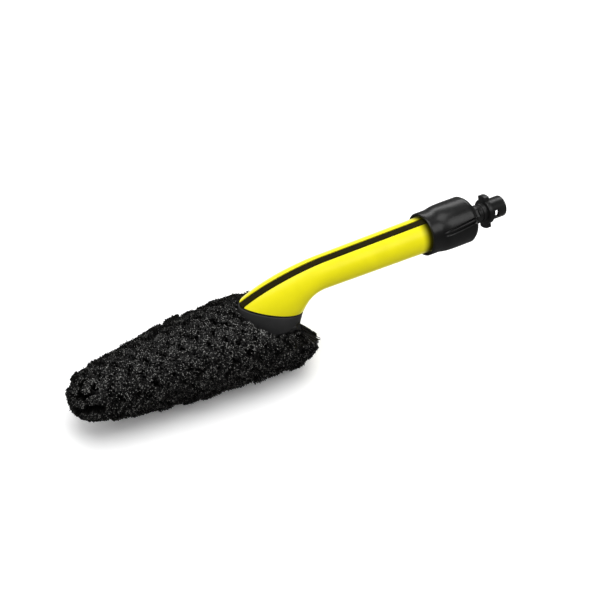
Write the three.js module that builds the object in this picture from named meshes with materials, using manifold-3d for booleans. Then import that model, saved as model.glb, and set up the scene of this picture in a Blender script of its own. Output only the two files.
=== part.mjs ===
// Wheel-rim wash brush for a pressure washer: an all-round bristle head on a cranked two-shell
// handle, with a union nut and a swivelling bayonet adapter at the water inlet.
//
// Millimetres, +Z up. The brush lies along X: the inlet points to +X and the bristle tip to -X.
// Every piece is drawn in "handle coordinates", where x = 0 is the inlet's end face and the
// X axis is the handle's own axis. The outer group then sets the brush down on z = 0, with the
// origin at the middle of the flat on the underside of the bristles.

import * as THREE from "three";
import { mergeVertices } from "three/addons/utils/BufferGeometryUtils.js";
import Module from "manifold-3d";

const wasm = await Module();
wasm.setup();

// ---------------------------------------------------------------- driving dimensions

const CLEARANCE = 0.3; // between neighbouring pieces that are cut to each other

const HANDLE_AXIS_HEIGHT = 71.8; // handle axis above the floor the bristles rest on
const REST_X = -232; // middle of the flat on the underside of the bristles

// bayonet adapter
const BARREL_RADIUS = 9.1;
const BORE_RADIUS = 3.8;
const INLET_RADIUS = 6.8; // counterbore at the inlet, where the spray gun seals
const INLET_DEPTH = 12;
const LUG_SPAN = [-18.8, -14.2]; // front and rear of the lug flange along X
const LUG_FLANGE_RADIUS = 11;
const LUG_REACH = 14.4; // lug tip from the axis
const LUG_WIDTH = 9;
const LUG_TURN = 22; // degrees from +Z towards +Y
const WINDOWS = [ // the barrel's window and end notch: x from, x to, half-width, degrees from +Z to -Y
  [-12, -8.2, 3.2, 80],
  [-6, 1, 3.6, 184],
];
const NECK_RADIUS = 7.9;
const CLAMP_FLANGE = [-57.5, -53.5]; // the flange that the union nut pulls home
const CLAMP_FLANGE_RADIUS = 11.6;
const SPIGOT_RADIUS = 7;
const SPIGOT_END = -75;
const O_RING_X = [-71.5, -66.5]; // the two seals on the spigot
const O_RING_GROOVE = 5.35;

// union nut
const NUT = [-82.4, -33]; // mouth and rear end
const NUT_RADIUS = 19.9;
const NUT_RING_RADIUS = 18.3;
const NUT_RING_LENGTH = 11;
const NUT_SHOULDER = -47; // inside face that presses on the slip ring
const NUT_FLUTES = 3;
const NUT_FLUTE_DEPTH = 2.7;
const NUT_FLUTE_TURN = 64; // degrees from +Z towards -Y
const THREAD = [-70, -59.5]; // ends of the screw thread on the handle's end piece
const THREAD_PITCH = 4;
const THREAD_RADIUS = 13.2;
const THREAD_ROOT = 11.7;

// handle
const HANDLE_END = -71.5; // end of the yellow shells, inside the nut's mouth
const HANDLE_RADIUS = [15.3, 13.8]; // at the nut and at the start of the bend
const HANDLE_WALL = 2.8;
const BEND_X = -182; // the bend starts here
const SEAM_FRONT = [-254, -4]; // x, z of the seam between handle and collar, front and rear
const SEAM_REAR = [-196.5, -24.2];
const SEAM_HALF_WIDTH = 17.4;
const SEAM_EGG = 0.26; // how much narrower the seam is in front than at the rear
const SEAM_GAP = 0.9;
const STRIP_WIDTH = 6.2;
const STRIP_DEPTH = 1.5;
const RIB_X = [-105, -135]; // ribs that hold the water tube on the handle's axis

// brush head
const HEAD_Z = -41.2; // axis of the head
const HEAD = [-398.6, -192]; // bristle tip and bristle rear
const HEAD_SIZE = [38, 31]; // half-width and half-height of the bristles at REST_X
const HEAD_DROOP = [0.00072, 0.0005]; // how fast the two fall away towards the tip
const HEAD_ROUND = 17;
const CORE = [-383, -201.5];
const CORE_SIZE = [20, 13];
const CORE_DROOP = [0.0005, 0.00026];
const CORE_ROUND = 9;
const CORE_WALL = 3;
const BODY_GAP = 1.5; // between the two halves of the brush body, filled by their gasket
const ABOVE_COLLAR = [[-257, -9], [-231, -31.5], [-187, -36.5]]; // x, z of the bristles' upper edge
const VALLEY = -56; // lowest point of the V that the bristles leave behind the collar
const COLLAR_FOOT = [-39, -46]; // z of the collar's lower edge, front and rear
const COLLAR_FOOT_BACK = 1.8; // how far the lower edge leans towards the tip
const COLLAR_FOOT_SHRINK = [3.2, 0.8]; // how much shorter and narrower it is than the seam
const COLLAR_WALL = 2.6;
const COLLAR_FLOOR = -25;
const TIP_LINE = -372; // the tip's own bristles start here
const REAR_LINE = -208; // and the rear's here
const JET_X = [-366, -326, -268]; // water jets between the bristles
const JET_Y = 7;
const JET_RADIUS = 1.4;

// fasteners
const SCREW_RADIUS = 1.5;
const SCREW_HEAD = 3;
const SCREW_HOLE = SCREW_RADIUS + CLEARANCE;
const BOSS_RADIUS = 4;
const NECK_SCREW = [-226, 11.5]; // x and distance from the middle
const BODY_SCREW_X = [-350, -284, -207.2];

// water tube
const TUBE_RADIUS = 5;
const TUBE_BORE = 3.4;
const TUBE_END = [-220, -33];

// ---------------------------------------------------------------- solids and shapes

// A closed geometry as a solid, with shared corners merged and collapsed triangles dropped.
function solid(geometry) {
  const bare = geometry.clone();
  bare.deleteAttribute("normal");
  bare.deleteAttribute("uv");
  const merged = mergeVertices(bare, 1e-4);
  const triangles = [];
  const index = merged.index.array;
  for (let i = 0; i < index.length; i += 3) {
    const [a, b, c] = [index[i], index[i + 1], index[i + 2]];
    if (a !== b && b !== c && c !== a) triangles.push(a, b, c);
  }
  return new wasm.Manifold(new wasm.Mesh({
    numProp: 3,
    vertProperties: Float32Array.from(merged.attributes.position.array),
    triVerts: Uint32Array.from(triangles),
  }));
}

// A solid back as a flat-shaded geometry.
function geometryOf(body) {
  const mesh = body.getMesh();
  const geometry = new THREE.BufferGeometry();
  geometry.setAttribute("position", new THREE.BufferAttribute(mesh.vertProperties, 3));
  geometry.setIndex(new THREE.BufferAttribute(mesh.triVerts, 1));
  return geometry;
}

// The largest of a solid's separate parts, without the slivers that a cut may leave.
function mainBody(body) {
  return body.decompose().sort((a, b) => b.volume() - a.volume())[0];
}

// Revolves [x, radius] points about the handle axis.
function turned(profile, segments = 24) {
  const points = profile.map(([x, radius]) => new THREE.Vector2(radius, x));
  return solid(new THREE.LatheGeometry(points, segments).rotateZ(-Math.PI / 2));
}

// A disc or ring between two x values; the profile runs so that its faces point outwards.
function ring([x0, x1], outer, inner = 0, segments = 24) {
  const profile = [[x0, inner], [x0, outer], [x1, outer], [x1, inner]];
  if (inner > 0) profile.push([x0, inner]);
  return turned(profile, segments);
}

// A round-section seal about the handle axis.
function oRing(x, radius, section) {
  return solid(new THREE.TorusGeometry(radius, section, 5, 16).rotateY(Math.PI / 2)
    .translate(x, 0, 0));
}

function block([x0, x1], [y0, y1], [z0, z1]) {
  const geometry = new THREE.BoxGeometry(x1 - x0, y1 - y0, z1 - z0);
  return solid(geometry.translate((x0 + x1) / 2, (y0 + y1) / 2, (z0 + z1) / 2));
}

// A round bar along Z, with its lower end at the given point.
function post(x, y, [z0, z1], radius, segments = 10) {
  const geometry = new THREE.CylinderGeometry(radius, radius, z1 - z0, segments);
  return solid(geometry.rotateX(Math.PI / 2).translate(x, y, (z0 + z1) / 2));
}

// Skins a row of equal rings of points into one closed body, whichever way round they run.
function loft(rings) {
  const count = rings[0].length;
  const points = rings.flat();
  const triangles = [];
  for (let r = 0; r + 1 < rings.length; r += 1) {
    for (let i = 0; i < count; i += 1) {
      const a = r * count + i;
      const b = r * count + ((i + 1) % count);
      triangles.push([a, b, b + count], [a, b + count, a + count]);
    }
  }
  for (const [start, isLast] of [[0, false], [points.length - count, true]]) {
    const middle = new THREE.Vector3();
    points.slice(start, start + count).forEach((p) => middle.addScaledVector(p, 1 / count));
    const hub = points.push(middle) - 1;
    for (let i = 0; i < count; i += 1) {
      const [from, to] = [start + i, start + ((i + 1) % count)];
      triangles.push(isLast ? [hub, from, to] : [hub, to, from]);
    }
  }
  const volume = triangles.reduce((sum, [a, b, c]) => (
    sum + points[a].dot(new THREE.Vector3().crossVectors(points[b], points[c]))), 0);
  if (volume < 0) triangles.forEach((triangle) => triangle.reverse());
  const geometry = new THREE.BufferGeometry().setFromPoints(points);
  geometry.setIndex(triangles.flat());
  return solid(geometry);
}

// An oval ring of points: its long axis in the XZ plane, its short axis along Y. An egg above 0
// narrows the end that the long axis points to and widens the other.
function oval(centre, long, halfLong, halfWidth, count = 28, egg = 0) {
  return Array.from({ length: count }, (_, i) => {
    const turn = (i / count) * 2 * Math.PI;
    const point = centre.clone().addScaledVector(long, halfLong * Math.cos(turn));
    point.y -= halfWidth * Math.sin(turn) * (1 - egg * Math.cos(turn));
    return point;
  });
}

const inXZ = ([x, z]) => new THREE.Vector3(x, 0, z);
const steps = (count) => Array.from({ length: count + 1 }, (_, i) => i / count);
const degrees = THREE.MathUtils.degToRad;

// A screw ridge about the handle axis, with a trapezoid section [root, crest] wide.
function screwRidge([x0, x1], [rootRadius, crestRadius], [rootWidth, crestWidth]) {
  const turns = (x1 - x0) / THREAD_PITCH;
  return loft(steps(Math.round(turns * 20)).map((t) => {
    const angle = t * turns * 2 * Math.PI;
    const x = x0 + t * (x1 - x0);
    const corners = [
      [-rootWidth / 2, rootRadius], [-crestWidth / 2, crestRadius],
      [crestWidth / 2, crestRadius], [rootWidth / 2, rootRadius],
    ];
    return corners.map(([dx, radius]) => new THREE.Vector3(
      x + dx, radius * Math.cos(angle), radius * Math.sin(angle)));
  }));
}

// ---------------------------------------------------------------- handle

const TOP_GUIDE = new THREE.CubicBezierCurve3(
  inXZ([BEND_X, HANDLE_RADIUS[1]]), inXZ([BEND_X - 23, 12.6]),
  inXZ([SEAM_FRONT[0] + 18, 6.2]), inXZ(SEAM_FRONT));
const BOTTOM_GUIDE = new THREE.CubicBezierCurve3(
  inXZ([BEND_X, -HANDLE_RADIUS[1]]), inXZ([BEND_X - 9, -14.2]),
  inXZ([SEAM_REAR[0] + 2, -16]), inXZ(SEAM_REAR));
const SEAM_CENTRE = inXZ(SEAM_FRONT).add(inXZ(SEAM_REAR)).multiplyScalar(0.5);
const SEAM_LONG = inXZ(SEAM_FRONT).sub(inXZ(SEAM_REAR)).normalize();
const SEAM_HALF_LENGTH = inXZ(SEAM_FRONT).distanceTo(inXZ(SEAM_REAR)) / 2;
const SEAM_DOWN = new THREE.Vector3(-SEAM_LONG.z, 0, SEAM_LONG.x);
const SIDES = 28; // of the handle's and the collar's ovals

// The handle's outer form, made smaller all round by an inset, and longer at both ends.
function handleForm(inset, overrun = 0) {
  const straight = [HANDLE_END, BEND_X].map((x, i) => (
    oval(inXZ([x + (i ? 0 : overrun), 0]), inXZ([0, 1]), HANDLE_RADIUS[i] - inset,
      HANDLE_RADIUS[i] - inset)));
  const bend = steps(8).slice(1).map((t) => {
    const top = TOP_GUIDE.getPoint(t);
    const bottom = BOTTOM_GUIDE.getPoint(t);
    const long = top.clone().sub(bottom).normalize();
    const flare = t * t * (3 - 2 * t);
    const width = THREE.MathUtils.lerp(HANDLE_RADIUS[1], SEAM_HALF_WIDTH, flare);
    const centre = top.clone().add(bottom).multiplyScalar(0.5);
    const halfLong = top.distanceTo(bottom) / 2 - inset;
    return oval(centre, long, halfLong, width - inset, SIDES, SEAM_EGG * flare);
  });
  const seam = bend.at(-1).map((point) => point.clone().addScaledVector(SEAM_DOWN, overrun));
  return loft([...straight, ...bend, ...(overrun ? [seam] : [])]);
}

const everywhere = [-500, 100];
const leftHalf = block(everywhere, [CLEARANCE / 2, 80], [-120, 120]);
const rightHalf = block(everywhere, [-80, -CLEARANCE / 2], [-120, 120]);

function stripSlot(margin) {
  const half = STRIP_WIDTH / 2 + margin;
  return block(everywhere, [-half, half], [-6, 60]);
}

// ---------------------------------------------------------------- water tube

const tubePath = new THREE.CatmullRomCurve3([
  inXZ([-86, 0]), inXZ([-170, 0]), inXZ([-200, -3]), inXZ([-216, -13]),
  inXZ([TUBE_END[0], -24]), inXZ(TUBE_END),
]);

function tubeBar(radius) {
  const shape = new THREE.Shape().absarc(0, 0, radius, 0, 2 * Math.PI);
  return solid(new THREE.ExtrudeGeometry(shape, {
    steps: 14, curveSegments: 5, bevelEnabled: false, extrudePath: tubePath,
  }));
}

// ---------------------------------------------------------------- brush head

// Half-size of a paddle at x: full at REST_X, falling away towards the tip, round at both ends.
function paddleSize(x, size, droop, [tip, rear], roundness) {
  const beyond = Math.max(0, REST_X - x);
  const fromEnd = Math.min(1, Math.min(x - tip, rear - x) / roundness);
  const end = Math.sqrt(Math.max(0, 1 - (1 - fromEnd) ** 2));
  return (size - droop * beyond ** 2) * end;
}

// A closed paddle along the head's axis, made larger all round by grow.
function paddle(span, size, droop, roundness, grow = 0, sides = 20) {
  const [tip, rear] = span;
  const middle = (tip + rear) / 2;
  const rounding = [0.01, 0.12, 0.4];
  const stations = [
    ...rounding.map((t) => rear - t * roundness),
    ...steps(5).map((t) => rear - roundness - t * (rear - tip - 2 * roundness)),
    ...rounding.toReversed().map((t) => tip + t * roundness),
  ];
  return loft(stations.map((x) => {
    const [halfWidth, halfHeight] = size.map(
      (full, i) => paddleSize(x, full, droop[i], span, roundness) + grow);
    const centre = inXZ([x + grow * Math.sign(x - middle), HEAD_Z]);
    return oval(centre, inXZ([0, 1]), halfHeight, halfWidth, sides);
  }));
}

const coreHalfHeight = (x) => paddleSize(x, CORE_SIZE[1], CORE_DROOP[1], CORE, CORE_ROUND);
const core = (grow) => paddle(CORE, CORE_SIZE, CORE_DROOP, CORE_ROUND, grow);
const upperHalf = block(everywhere, [-80, 80], [HEAD_Z + BODY_GAP / 2, 60]);
const lowerHalf = block(everywhere, [-80, 80], [-120, HEAD_Z - BODY_GAP / 2]);
const outside = core(0);
const chamber = core(-CORE_WALL);

// The collar's outer form: the seam oval at the top, a shorter oval that falls to the rear below.
function collarForm(grow, top = SEAM_GAP) {
  const start = SEAM_CENTRE.clone().addScaledVector(SEAM_DOWN, top);
  const [front, rear] = COLLAR_FOOT;
  const end = inXZ([SEAM_CENTRE.x - COLLAR_FOOT_BACK, (front + rear) / 2]);
  const [shorter, narrower] = COLLAR_FOOT_SHRINK;
  const foot = SEAM_HALF_LENGTH - shorter;
  const long = inXZ([-2 * foot, front - rear]).normalize();
  return loft([
    oval(start, SEAM_LONG, SEAM_HALF_LENGTH + grow, SEAM_HALF_WIDTH + grow, SIDES, SEAM_EGG),
    oval(end, long, foot + grow, SEAM_HALF_WIDTH - narrower + grow, SIDES, SEAM_EGG),
  ]);
}

// An oval plate between two depths below the seam.
function seamPlate(grow, depths) {
  return loft(depths.map((depth) => oval(SEAM_CENTRE.clone().addScaledVector(SEAM_DOWN, depth),
    SEAM_LONG, SEAM_HALF_LENGTH + grow, SEAM_HALF_WIDTH + grow, SIDES, SEAM_EGG)));
}

// ---------------------------------------------------------------- pieces

const BLACK = 0x161616;
const YELLOW = 0xffe600;
const RUBBER = 0x0c0c0c;
const STEEL = 0xb8b8b8;
const pieces = new THREE.Group();

function add(name, body, color = BLACK, roughness = 0.5, metalness = 0) {
  const material = new THREE.MeshStandardMaterial({ color, roughness, metalness, flatShading: true });
  const mesh = new THREE.Mesh(geometryOf(body), material);
  mesh.name = name;
  pieces.add(mesh);
}

// Barrel, lug flange, neck, clamp flange and spigot in one turned form with its lugs and bore.
function makeAdapter() {
  const groove = (x) => [
    [x - 1.1, SPIGOT_RADIUS], [x - 1.1, O_RING_GROOVE],
    [x + 1.1, O_RING_GROOVE], [x + 1.1, SPIGOT_RADIUS],
  ];
  const outer = turned([
    [SPIGOT_END, 0], [SPIGOT_END, SPIGOT_RADIUS - 0.6], [SPIGOT_END + 0.6, SPIGOT_RADIUS],
    ...groove(O_RING_X[0]), ...groove(O_RING_X[1]),
    [CLAMP_FLANGE[0], SPIGOT_RADIUS], [CLAMP_FLANGE[0], CLAMP_FLANGE_RADIUS],
    [CLAMP_FLANGE[1], CLAMP_FLANGE_RADIUS], [CLAMP_FLANGE[1], NECK_RADIUS],
    [-24.5, NECK_RADIUS], [-24.5, NECK_RADIUS - 1], [-22.4, NECK_RADIUS - 1],
    [-22.4, NECK_RADIUS], [LUG_SPAN[0], NECK_RADIUS], [LUG_SPAN[0], LUG_FLANGE_RADIUS],
    [LUG_SPAN[1] - 0.8, LUG_FLANGE_RADIUS], [LUG_SPAN[1], LUG_FLANGE_RADIUS - 0.8],
    [LUG_SPAN[1], BARREL_RADIUS], [-0.8, BARREL_RADIUS], [0, BARREL_RADIUS - 0.8], [0, 0],
  ]);
  const bar = block(LUG_SPAN, [-LUG_WIDTH / 2, LUG_WIDTH / 2], [-20, 20]);
  const lugs = bar.intersect(ring(LUG_SPAN, LUG_REACH)).rotate([-LUG_TURN, 0, 0]);
  const bore = turned([
    [SPIGOT_END - 1, 0], [SPIGOT_END - 1, BORE_RADIUS], [-INLET_DEPTH, BORE_RADIUS],
    [-INLET_DEPTH, INLET_RADIUS], [1, INLET_RADIUS], [1, 0],
  ]);
  const windows = WINDOWS.map(([from, to, half, turn]) => (
    block([from, to], [-half, half], [0, 20]).rotate([turn, 0, 0])));
  const pockets = [40, 130, 220, 310].map((turn) => (
    block([-31, -26.5], [-3, 3], [NECK_RADIUS - 1.2, 20]).rotate([turn, 0, 0])));
  return [...windows, ...pockets].reduce((left, cut) => left.subtract(cut),
    outer.add(lugs).subtract(bore));
}

// Outer form of the union nut: a plain ring at the mouth, then broad lobes between V flutes that
// widen towards the rear, each with a low rib down its middle.
function nutForm() {
  const [mouth, rear] = NUT;
  const lobes = mouth + NUT_RING_LENGTH;
  const outline = [ // x, radius, depth of the flutes from 0 to 1
    [mouth, NUT_RING_RADIUS - 0.9, 0], [mouth + 0.9, NUT_RING_RADIUS, 0],
    [lobes - 2, NUT_RING_RADIUS, 0], [lobes + 1, NUT_RADIUS - 0.6, 0.1],
    [lobes + 4, NUT_RADIUS, 0.3], [lobes + 20, NUT_RADIUS, 0.75],
    [rear - 7, NUT_RADIUS - 0.3, 1], [rear - 4, NUT_RADIUS - 1.6, 0.9],
    [rear - 2, NUT_RADIUS - 4.4, 0.3], [rear - 1.4, 13.6, 0], [rear, 13.2, 0],
  ];
  const sides = 64;
  return loft(outline.map(([x, radius, depth]) => Array.from({ length: sides }, (_, i) => {
    const angle = (i / sides) * 2 * Math.PI;
    const lobe = ((angle * NUT_FLUTES) / (2 * Math.PI)) % 1;
    const off = Math.min(lobe, 1 - lobe) * (360 / NUT_FLUTES); // degrees from the flute's middle
    const half = 3.5 + 8 * depth;
    const rib = Math.max(0, 1 - off / (half * 0.45));
    const cut = Math.max(0, 1 - off / half) * NUT_FLUTE_DEPTH * depth * (1 - 0.7 * rib);
    const turn = angle + degrees(NUT_FLUTE_TURN);
    return new THREE.Vector3(x, -(radius - cut) * Math.sin(turn), (radius - cut) * Math.cos(turn));
  })));
}

function makeNut() {
  const [mouth, rear] = NUT;
  const mouthRadius = HANDLE_RADIUS[0] + 0.7;
  const threadRadius = THREAD_RADIUS + 0.4;
  const bore = turned([
    [mouth - 1, 0], [mouth - 1, mouthRadius + 0.7], [mouth + 0.6, mouthRadius],
    [HANDLE_END + 1, mouthRadius], [HANDLE_END + 1, threadRadius],
    [NUT_SHOULDER, threadRadius], [NUT_SHOULDER, NECK_RADIUS + 0.5],
    [rear + 1, NECK_RADIUS + 0.5], [rear + 1, 0],
  ]);
  const ridge = screwRidge([THREAD[0] + THREAD_PITCH / 2, THREAD[1] + 1],
    [threadRadius + 0.6, THREAD_ROOT + 0.5], [1.7, 0.9]);
  return nutForm().subtract(bore).add(ridge);
}

// The end piece that the shells grip: screw thread outside, spigot seat and tube seat inside.
function makeThreadSocket() {
  const flange = 12.2;
  const outer = turned([
    [-92, 0], [-92, 7.6], [-81.5, 7.6], [-81.5, flange], [-78.5, flange], [-78.5, 10.4],
    [-75.5, 10.4], [-75.5, flange], [THREAD[0] - 1.2, flange], [THREAD[0] - 1.2, THREAD_ROOT],
    [THREAD[1], THREAD_ROOT], [THREAD[1], 0],
  ]);
  const seat = SPIGOT_RADIUS + 0.25;
  const tubeSeat = TUBE_RADIUS + 0.2;
  const bore = turned([
    [-93, 0], [-93, tubeSeat], [-89.9, tubeSeat], [-89.9, 6.6], [-88.1, 6.6], [-88.1, tubeSeat],
    [-84.5, tubeSeat], [-84.5, TUBE_BORE], [SPIGOT_END - 1, TUBE_BORE], [SPIGOT_END - 1, seat],
    [THREAD[1] + 1, seat], [THREAD[1] + 1, 0],
  ]);
  const ridge = screwRidge([THREAD[0], THREAD[1] - 1.2], [THREAD_ROOT - 0.6, THREAD_RADIUS],
    [1.9, 0.9]);
  return outer.add(ridge).subtract(bore);
}

// One yellow shell, with the ribs that hold the tube, its half of the strip's slot and a boss.
function makeShell(half, side) {
  const ribs = RIB_X.map((x) => ring([x - 1, x + 1], 20, TUBE_RADIUS + 2 * CLEARANCE));
  ribs.push(ring([-78.2, -75.8], 20, 10.7));
  const boss = post(NECK_SCREW[0], side * NECK_SCREW[1], [-40, 20], BOSS_RADIUS);
  const screwHole = post(NECK_SCREW[0], side * NECK_SCREW[1], [-40, -4], SCREW_HOLE);
  const hollow = [boss, ...ribs].reduce(
    (left, inside) => left.subtract(inside), handleForm(HANDLE_WALL, 1));
  const slot = stripSlot(CLEARANCE).subtract(handleForm(STRIP_DEPTH + CLEARANCE, 1));
  return handleForm(0).subtract(hollow).subtract(slot).subtract(screwHole).intersect(half);
}

// The collar: a skirt that saddles the brush body, a floor, and posts for the tube and screws.
function makeCollar() {
  const floor = block(everywhere, [-60, 60], [COLLAR_FLOOR, 60]);
  const pocket = collarForm(-COLLAR_WALL, SEAM_GAP - 1).intersect(floor);
  const tall = [COLLAR_FLOOR - 1, 20];
  const posts = post(TUBE_END[0], 0, tall, TUBE_RADIUS + 3)
    .add(post(NECK_SCREW[0], NECK_SCREW[1], tall, BOSS_RADIUS))
    .add(post(NECK_SCREW[0], -NECK_SCREW[1], tall, BOSS_RADIUS));
  const form = collarForm(0);
  return form.subtract(pocket).add(posts.intersect(form)).subtract(core(CLEARANCE))
    .subtract(tubeBar(TUBE_RADIUS + 0.5))
    .subtract(post(NECK_SCREW[0], NECK_SCREW[1], [-60, 20], SCREW_HOLE))
    .subtract(post(NECK_SCREW[0], -NECK_SCREW[1], [-60, 20], SCREW_HOLE));
}

const jets = JET_X.flatMap((x) => [-JET_Y, JET_Y].map((y) => post(x, y, [-70, 0], JET_RADIUS, 6)));
const bodyBosses = BODY_SCREW_X.map((x) => post(x, 0, [-70, 0], BOSS_RADIUS + 1));

// One half of the hollow brush body, with screw bosses and water jets.
function makeBody(half, holes) {
  const wall = outside.subtract(chamber);
  const whole = bodyBosses.reduce((sum, boss) => sum.add(boss.intersect(outside)), wall);
  return mainBody(
    [...jets, ...holes].reduce((left, hole) => left.subtract(hole), whole.intersect(half)));
}

// A pan-head screw standing on its head.
function screw(x, y, [bottom, top]) {
  return post(x, y, [bottom, bottom + 2], SCREW_HEAD).add(post(x, y, [bottom + 1, top], SCREW_RADIUS, 12));
}

add("bayonet_adapter", makeAdapter(), BLACK, 0.35);
add("flow_restrictor", ring([-40, -32], BORE_RADIUS - 0.2, 1.1, 24), STEEL, 0.3, 0.8);
add("spigot_seal_front", oRing(O_RING_X[0], 6.3, 0.8), RUBBER, 0.8);
add("spigot_seal_rear", oRing(O_RING_X[1], 6.3, 0.8), RUBBER, 0.8);
add("union_nut", makeNut(), BLACK, 0.4);
add("slip_ring", ring([CLAMP_FLANGE[1] + CLEARANCE, NUT_SHOULDER - CLEARANCE],
  THREAD_RADIUS, NECK_RADIUS + CLEARANCE), 0xe8e4da);
add("thread_socket", makeThreadSocket());
add("tube_seal", oRing(-89, 5.9, 0.6), RUBBER, 0.8);
add("handle_shell_left", makeShell(leftHalf, 1), YELLOW, 0.35);
add("handle_shell_right", makeShell(rightHalf, -1), YELLOW, 0.35);
add("handle_strip", handleForm(0.2).intersect(stripSlot(0)).subtract(handleForm(STRIP_DEPTH, 1))
  .intersect(block(everywhere, [-20, 20], [-6, 60])));
add("water_tube", tubeBar(TUBE_RADIUS).subtract(tubeBar(TUBE_BORE)), 0x2a2a2a, 0.4);
add("seam_gasket", seamPlate(-0.9, [0.2, 0.7]).subtract(seamPlate(-3.4, [0, 1])), RUBBER, 0.8);
add("collar", makeCollar(), BLACK, 0.45);

const neckHoles = [1, -1].map((side) => post(
  NECK_SCREW[0], side * NECK_SCREW[1], [HEAD_Z, 0], SCREW_HOLE));
const grommetHole = post(TUBE_END[0], 0, [HEAD_Z, 0], TUBE_RADIUS + 2.5);
const bodyHoles = BODY_SCREW_X.map((x) => (
  post(x, 0, [-70, HEAD_Z + coreHalfHeight(x) - 2], SCREW_HOLE, 12)));
const headHoles = BODY_SCREW_X.map((x) => (
  post(x, 0, [-70, HEAD_Z - coreHalfHeight(x) + 4], SCREW_HEAD + CLEARANCE)));
add("brush_body_upper", makeBody(upperHalf, [...neckHoles, grommetHole, ...bodyHoles]));
add("brush_body_lower", makeBody(lowerHalf, [...bodyHoles, ...headHoles]));

const gasketSlab = block(everywhere, [-80, 80], [HEAD_Z - 0.6, HEAD_Z + 0.6]);
add("body_gasket", core(-0.6).subtract(core(-CORE_WALL + 0.4)).intersect(gasketSlab), RUBBER, 0.8);
add("tube_grommet", post(TUBE_END[0], 0, [-31.6, -29.2], TUBE_RADIUS + 2.2)
  .subtract(post(TUBE_END[0], 0, [-32, -28], TUBE_RADIUS + 0.4)), RUBBER, 0.8);
for (const [name, side] of [["neck_screw_left", 1], ["neck_screw_right", -1]]) {
  add(name, screw(NECK_SCREW[0], side * NECK_SCREW[1], [-39.2, -5]), STEEL, 0.35, 0.9);
}
for (const [i, name] of ["front", "middle", "rear"].entries()) {
  const x = BODY_SCREW_X[i];
  const span = [HEAD_Z - coreHalfHeight(x) + 1.7, HEAD_Z + coreHalfHeight(x) - 2.5];
  add(`body_screw_${name}`, screw(x, 0, span), STEEL, 0.35, 0.9);
}

// ---------------------------------------------------------------- bristles
// The bristles stand on the body as dense tufts; each zone here is the space that they fill.

// A prism along the head whose section opens upwards or downwards from its lowest or highest edge.
function wedge([x0, x1], up, apex) {
  const corners = [[0, apex], [80, apex + up * 66], [-80, apex + up * 66]];
  return loft([x0, x1].map((x) => corners.map(([y, z]) => new THREE.Vector3(x, y, z))));
}

// Everything above a line that falls towards the rear, from its first point on.
function aboveLine([x0, z0], [x1, z1], ahead) {
  const slope = Math.atan2(z0 - z1, x1 - x0);
  const above = block([-ahead, 150], [-80, 80], [0, 100]);
  return above.rotate([0, THREE.MathUtils.radToDeg(slope), 0]).translate([x0, 0, z0]);
}

// The space beside, above and behind the collar, where the bristles are cut low.
function aboveCollar() {
  const [front, bend, rear] = ABOVE_COLLAR;
  const beside = aboveLine(front, bend, 0).intersect(aboveLine(bend, rear, 60));
  return beside.add(wedge([REAR_LINE, 0], 1, VALLEY));
}

const envelope = paddle(HEAD, HEAD_SIZE, HEAD_DROOP, HEAD_ROUND, 0, 28)
  .intersect(block(everywhere, [-80, 80], [-HANDLE_AXIS_HEIGHT, 60]))
  .subtract(core(CLEARANCE)).subtract(collarForm(1)).subtract(handleForm(-1))
  .subtract(aboveCollar());
const middleSpan = [TIP_LINE + CLEARANCE, REAR_LINE - CLEARANCE];
const topSpan = [middleSpan[0], SEAM_FRONT[0] - 2];
const middle = envelope.intersect(block(middleSpan, [-80, 80], [-120, 60]));
const apart = 1.6 * CLEARANCE; // between the edges of two zones' wedges
const flanks = middle.subtract(wedge([-500, topSpan[1] + CLEARANCE], 1, HEAD_Z - apart))
  .subtract(wedge(everywhere, -1, HEAD_Z + apart));
const zones = {
  bristles_top: middle.intersect(wedge([-500, topSpan[1]], 1, HEAD_Z)),
  bristles_bottom: middle.intersect(wedge(everywhere, -1, HEAD_Z)),
  bristles_left: flanks.intersect(leftHalf),
  bristles_right: flanks.intersect(rightHalf),
  bristles_tip: envelope.intersect(block([-500, TIP_LINE], [-80, 80], [-120, 60])),
  bristles_rear: envelope.intersect(block([REAR_LINE, 0], [-80, 80], [-120, 60])),
};
for (const [name, zone] of Object.entries(zones)) add(name, mainBody(zone), BLACK, 0.9);

const brush = new THREE.Group();
brush.name = "wheel_brush";
pieces.position.set(-REST_X, 0, HANDLE_AXIS_HEIGHT);
brush.add(pieces);

export default brush;
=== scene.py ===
"""Looks of a wheel-rim wash brush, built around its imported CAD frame.

The forms are drawn in handle coordinates, in millimetres: x = 0 is the inlet's end face, the X axis is
the handle's own axis, and the bristle tip points to -X. in_row() turns them into the row's metres.
"""

import math

import bpy
import numpy as np
from mathutils import Matrix, Vector


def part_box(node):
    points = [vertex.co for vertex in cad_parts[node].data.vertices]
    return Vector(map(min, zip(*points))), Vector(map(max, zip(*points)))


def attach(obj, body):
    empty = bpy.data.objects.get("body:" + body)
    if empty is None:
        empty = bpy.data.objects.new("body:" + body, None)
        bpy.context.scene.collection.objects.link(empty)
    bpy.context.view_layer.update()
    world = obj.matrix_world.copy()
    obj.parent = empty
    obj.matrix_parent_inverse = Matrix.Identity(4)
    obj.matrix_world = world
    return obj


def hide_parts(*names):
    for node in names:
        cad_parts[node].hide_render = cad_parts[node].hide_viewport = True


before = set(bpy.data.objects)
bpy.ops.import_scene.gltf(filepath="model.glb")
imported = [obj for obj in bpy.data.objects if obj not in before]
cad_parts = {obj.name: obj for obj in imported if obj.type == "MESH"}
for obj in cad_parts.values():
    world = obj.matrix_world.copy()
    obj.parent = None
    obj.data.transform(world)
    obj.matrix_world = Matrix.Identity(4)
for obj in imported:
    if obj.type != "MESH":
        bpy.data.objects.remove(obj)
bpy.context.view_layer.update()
rng = np.random.default_rng(7)

MM = 0.001
Y_AXIS = np.array([0.0, 1.0, 0.0])


# ---------------------------------------------------------------- the frame's own sizes

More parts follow.
